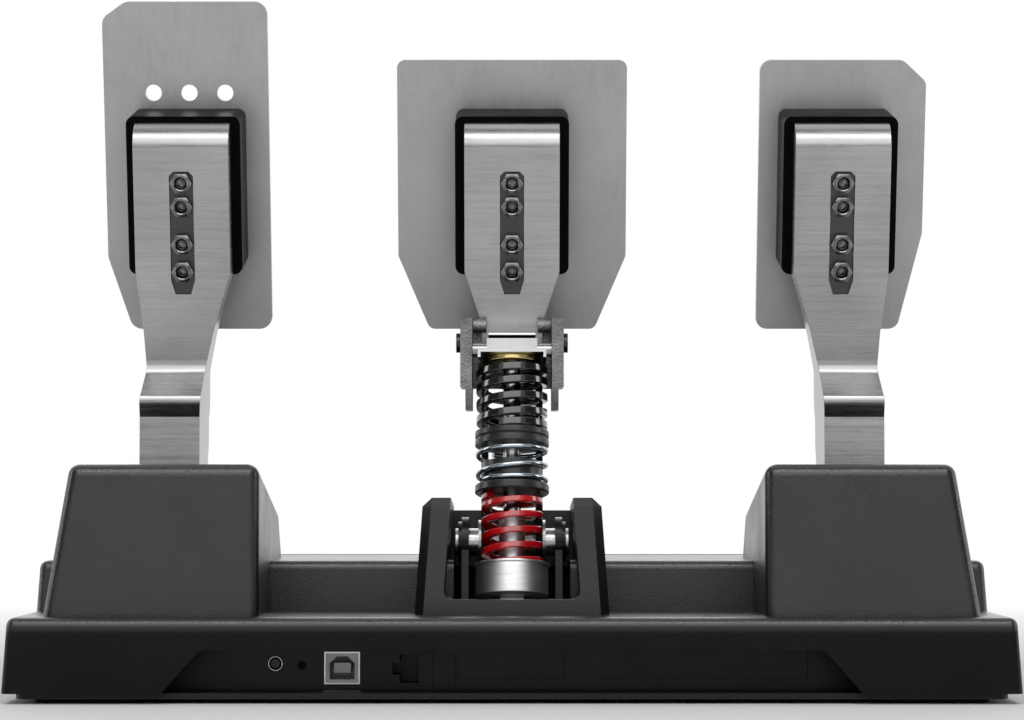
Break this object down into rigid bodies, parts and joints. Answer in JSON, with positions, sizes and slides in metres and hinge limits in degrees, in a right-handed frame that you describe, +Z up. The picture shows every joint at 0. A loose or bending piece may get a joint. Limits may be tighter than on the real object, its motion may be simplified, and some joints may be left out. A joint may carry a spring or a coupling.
{
  "type": "sim racing pedal set",
  "caption": "Sim racing pedal set: low black base with towers, bent steel levers, brushed plates and a coil-sprung brake with load cell.",
  "frame": {"origin": "centre of the footprint, on the floor under the rubber feet", "axes": "+X is the driver's right, +Y points away from the driver to the rear sockets, +Z is up"},
  "size_m": [0.338, 0.27, 0.2489],
  "materials": {
    "black_shell": "fine grain",
    "panel_black": "satin",
    "footrest_black": "ribbed satin",
    "plate_paint": "matte",
    "foot_rubber": "matte",
    "screw_steel": "black oxide",
    "socket_steel": "plated",
    "insert_plastic": "satin",
    "button_plastic": "gloss",
    "led_plastic": "translucent",
    "board_resin": "solder mask",
    "bracket_steel": "zinc plated",
    "axle_steel": "ground",
    "arm_steel": "brushed across",
    "bush_steel": "sintered",
    "magnet_nickel": "plated",
    "spacer_black": "satin",
    "plate_steel": "brushed",
    "bolt_steel": "zinc plated",
    "yoke_metal": "fine cast, satin",
    "yoke_bolt_steel": "black oxide",
    "cup_aluminium": "turned satin",
    "red_paint": "gloss",
    "washer_black": "satin",
    "zinc_wire": "bright zinc",
    "black_paint": "gloss",
    "brass": "turned",
    "rod_chrome": "polished",
    "cell_aluminium": "milled",
    "lead_black": "matte"
  },
  "bodies": {
    "base": {"base_shell": "black_shell", "bottom_plate": "plate_paint", "rubber_feet": "foot_rubber", "base_screws": "screw_steel", "footrest_plate": "footrest_black", "throttle_tower": "black_shell", "clutch_tower": "black_shell", "brake_housing": "black_shell", "connector_panel": "panel_black", "usb_port_shell": "socket_steel", "usb_port_insert": "insert_plastic", "accessory_socket": "panel_black", "status_led": "led_plastic", "main_board": "board_resin", "throttle_bracket": "bracket_steel", "brake_bracket": "bracket_steel", "clutch_bracket": "bracket_steel", "throttle_axle": "axle_steel", "brake_axle": "axle_steel", "clutch_axle": "axle_steel", "axle_clips": "bracket_steel", "throttle_sensor_board": "board_resin", "clutch_sensor_board": "board_resin", "internal_leads": "lead_black", "throttle_return_spring": "bolt_steel", "clutch_return_spring": "bolt_steel", "load_cell": "cell_aluminium", "load_cell_fork": "bracket_steel", "cup_pin": "axle_steel"},
    "button": {"push_button": "button_plastic"},
    "throttle_pedal": {"throttle_arm": "arm_steel", "throttle_bushes": "bush_steel", "throttle_magnet": "magnet_nickel", "throttle_spacer": "spacer_black", "throttle_plate": "plate_steel", "throttle_bolts": "bolt_steel", "throttle_nuts": "bolt_steel"},
    "clutch_pedal": {"clutch_arm": "arm_steel", "clutch_bushes": "bush_steel", "clutch_magnet": "magnet_nickel", "clutch_spacer": "spacer_black", "clutch_plate": "plate_steel", "clutch_bolts": "bolt_steel", "clutch_nuts": "bolt_steel"},
    "brake_pedal": {"brake_arm": "arm_steel", "brake_bushes": "bush_steel", "brake_spacer": "spacer_black", "brake_plate": "plate_steel", "brake_bolts": "bolt_steel", "brake_nuts": "bolt_steel", "brake_yoke": "yoke_metal", "yoke_bolt": "yoke_bolt_steel"},
    "cup_body": {"spring_cup": "cup_aluminium", "red_spring": "red_paint"},
    "lower_washer_body": {"lower_washer": "washer_black", "zinc_spring": "zinc_wire"},
    "upper_washer_body": {"upper_washer": "washer_black", "black_spring": "black_paint"},
    "rod_body": {"brake_rod": "rod_chrome", "brass_seat": "brass"}
  },
  "joints": [
    {"name": "throttle_hinge", "type": "hinge", "parent": "base", "child": "throttle_pedal", "pos_m": [0.12275, 0.046, 0.052], "axis": [-1, 0, 0], "range_deg": [0, 16], "stiffness_Nm_per_rad": 3, "springref_deg": -17.19, "deforming": ["throttle_return_spring"]},
    {"name": "clutch_hinge", "type": "hinge", "parent": "base", "child": "clutch_pedal", "pos_m": [-0.12275, 0.046, 0.052], "axis": [-1, 0, 0], "range_deg": [0, 16], "stiffness_Nm_per_rad": 3, "springref_deg": -17.19, "deforming": ["clutch_return_spring"]},
    {"name": "brake_hinge", "type": "hinge", "parent": "base", "child": "brake_pedal", "pos_m": [0, 0.046, 0.052], "axis": [-1, 0, 0], "range_deg": [0, 10], "stiffness_Nm_per_rad": 60, "springref_deg": -2.86, "deforming": ["red_spring", "zinc_spring", "black_spring"]},
    {"name": "cup_tilt", "type": "hinge", "parent": "base", "child": "cup_body", "pos_m": [0, 0.087, 0.025], "axis": [-1, 0, 0], "range_deg": [0, 7]},
    {"name": "lower_washer_slide", "type": "slide", "parent": "cup_body", "child": "lower_washer_body", "axis": [0, 0.1959, -0.9806], "range_m": [0, 0.0021], "deforming": ["red_spring", "zinc_spring"]},
    {"name": "upper_washer_slide", "type": "slide", "parent": "cup_body", "child": "upper_washer_body", "axis": [0, 0.1959, -0.9806], "range_m": [0, 0.005], "deforming": ["zinc_spring", "black_spring"]},
    {"name": "rod_slide", "type": "slide", "parent": "cup_body", "child": "rod_body", "axis": [0, 0.1959, -0.9806], "range_m": [0, 0.0067], "deforming": ["black_spring"]},
    {"name": "button_press", "type": "slide", "parent": "base", "child": "button", "axis": [0, -1, 0], "range_m": [0, 0.0005], "stiffness_N_per_m": 300}
  ],
  "couplings": [
    {"joint": "cup_tilt", "follows": "brake_hinge", "ratio": 0.654},
    {"joint": "lower_washer_slide", "follows": "brake_hinge", "m_per_rad": 0.0111},
    {"joint": "upper_washer_slide", "follows": "brake_hinge", "m_per_rad": 0.0277},
    {"joint": "rod_slide", "follows": "brake_hinge", "m_per_rad": 0.0369}
  ]
}
